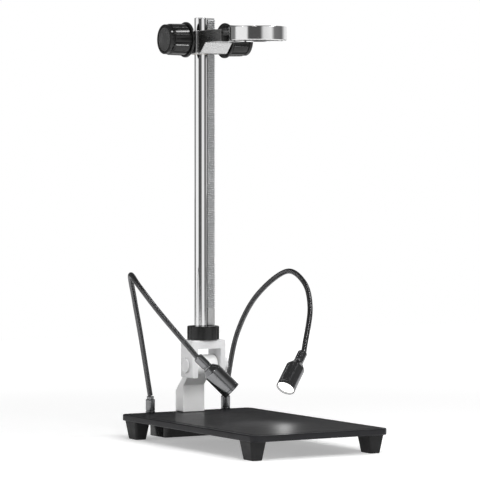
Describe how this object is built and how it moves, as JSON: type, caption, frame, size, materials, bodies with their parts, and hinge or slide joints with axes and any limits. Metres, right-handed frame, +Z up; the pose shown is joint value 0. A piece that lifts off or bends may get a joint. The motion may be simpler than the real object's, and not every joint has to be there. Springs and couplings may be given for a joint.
{
  "type": "document camera stand",
  "caption": "Bench stand for a document camera: tilting rack column, focus carriage with split camera ring, and gooseneck lamps over a flat base.",
  "frame": {"origin": "on the floor, under the middle of the base plate", "axes": "+Z up along the column, +Y to the rear, where the column stands, +X to the right seen from the front"},
  "size_m": [0.2036, 0.274, 0.442],
  "materials": {
    "black_plate": "fine satin black powder coat",
    "black_mat": "smooth low-gloss black work surface",
    "foot_rubber": "matte black moulded rubber",
    "black_plastic": "smooth black moulding",
    "knob_black": "semi-gloss black moulding",
    "knob_cap_grey": "dished dark grey cap",
    "end_plate_black": "satin black",
    "circuit_board": "green solder mask",
    "inlet_metal": "plain plated shell",
    "white_paint": "smooth satin white",
    "clevis_grey": "bead-blasted, pale grey",
    "fastener_steel": "plated steel",
    "rod_chrome": "hard chromed, polished",
    "rack_steel": "hobbed steel, satin",
    "satin_aluminium": "satin anodised",
    "brass": "machined",
    "nylon_white": "natural nylon, off-white",
    "gunmetal": "dark anodised, satin gloss",
    "neck_metal": "black ribbed flexible tube",
    "lens_clear": "clear lens, lit from behind"
  },
  "bodies": {
    "base": {"base_plate": "black_plate", "work_mat": "black_mat", "foot_front_left": "foot_rubber", "foot_front_right": "foot_rubber", "foot_rear_left": "foot_rubber", "foot_rear_right": "foot_rubber", "foot_screw_front_left": "fastener_steel", "foot_screw_front_right": "fastener_steel", "foot_screw_rear_left": "fastener_steel", "foot_screw_rear_right": "fastener_steel", "driver_housing": "black_plastic", "driver_board": "circuit_board", "power_inlet": "inlet_metal", "driver_screw_left": "fastener_steel", "driver_screw_right": "fastener_steel", "pedestal": "white_paint", "pedestal_screw_left": "fastener_steel", "pedestal_screw_right": "fastener_steel", "hinge_pin": "fastener_steel", "hinge_cap": "clevis_grey", "hinge_washer_left": "nylon_white", "hinge_washer_right": "nylon_white", "lamp_post_left": "gunmetal", "lamp_post_right": "gunmetal", "post_nut_left": "fastener_steel", "post_nut_right": "fastener_steel"},
    "hinge_knob": {"hinge_clamp_knob": "clevis_grey"},
    "column": {"column_clevis": "clevis_grey", "column_collar": "black_plastic", "column_bolt": "fastener_steel", "column_rod": "rod_chrome", "column_rack": "rack_steel", "rack_foot": "satin_aluminium", "rack_screw_lower": "fastener_steel", "rack_screw_upper": "fastener_steel"},
    "carriage": {"carriage_arm": "satin_aluminium", "guide_bush_lower": "brass", "guide_bush_upper": "brass", "arm_end_plate": "end_plate_black", "split_ring": "satin_aluminium"},
    "ring_screw": {"ring_clamp_screw": "end_plate_black"},
    "focus_drive": {"pinion_shaft": "fastener_steel", "drive_pinion": "brass", "focus_knob_left": "knob_black", "focus_knob_right": "knob_black", "knob_cap_left": "knob_cap_grey", "knob_cap_right": "knob_cap_grey"},
    "neck_left": {"gooseneck_lower_left": "neck_metal"},
    "reach_left": {"gooseneck_upper_left": "neck_metal"},
    "lamp_left": {"neck_sleeve_left": "gunmetal", "lamp_housing_left": "gunmetal", "led_board_left": "nylon_white", "lamp_lens_left": "lens_clear"},
    "neck_right": {"gooseneck_lower_right": "neck_metal"},
    "reach_right": {"gooseneck_upper_right": "neck_metal"},
    "lamp_right": {"neck_sleeve_right": "gunmetal", "lamp_housing_right": "gunmetal", "led_board_right": "nylon_white", "lamp_lens_right": "lens_clear"}
  },
  "joints": [
    {"name": "column_tilt", "type": "hinge", "parent": "base", "child": "column", "pos_m": [0, 0.1005, 0.0765], "axis": [1, 0, 0], "range_deg": [-30, 15]},
    {"name": "hinge_knob_turn", "type": "hinge", "parent": "base", "child": "hinge_knob", "pos_m": [0, 0.1005, 0.0765], "axis": [1, 0, 0], "range_deg": [0, 360]},
    {"name": "carriage_slide", "type": "slide", "parent": "column", "child": "carriage", "axis": [0, 0, 1], "range_m": [-0.235, 0.01]},
    {"name": "focus_spin", "type": "hinge", "parent": "carriage", "child": "focus_drive", "pos_m": [0, 0.0942, 0.4183], "axis": [1, 0, 0], "range_deg": [-90, 1930]},
    {"name": "ring_screw_turn", "type": "hinge", "parent": "carriage", "child": "ring_screw", "pos_m": [0, 0.0275, 0.4232], "axis": [1, 0, 0], "range_deg": [-360, 0]},
    {"name": "lamp_swivel_left", "type": "hinge", "parent": "base", "child": "neck_left", "pos_m": [-0.046, 0.131, 0.0432], "axis": [0, 0, 1], "range_deg": [-40, 12]},
    {"name": "neck_bend_left", "type": "hinge", "parent": "neck_left", "child": "reach_left", "pos_m": [-0.095, 0.083, 0.1742], "axis": [1, 0, 0], "range_deg": [-30, 6]},
    {"name": "lamp_tilt_left", "type": "hinge", "parent": "reach_left", "child": "lamp_left", "pos_m": [-0.065, 0.002, 0.0957], "axis": [0.4617, 0.887, 0], "range_deg": [-20, 20]},
    {"name": "lamp_swivel_right", "type": "hinge", "parent": "base", "child": "neck_right", "pos_m": [0.046, 0.131, 0.0432], "axis": [0, 0, 1], "range_deg": [-12, 40]},
    {"name": "neck_bend_right", "type": "hinge", "parent": "neck_right", "child": "reach_right", "pos_m": [0.095, 0.083, 0.1742], "axis": [1, 0, 0], "range_deg": [-30, 6]},
    {"name": "lamp_tilt_right", "type": "hinge", "parent": "reach_right", "child": "lamp_right", "pos_m": [0.065, 0.002, 0.0957], "axis": [0.4617, -0.887, 0], "range_deg": [-20, 20]}
  ],
  "couplings": [
    {"joint": "focus_spin", "follows": "carriage_slide", "rad_per_m": -142.86}
  ]
}
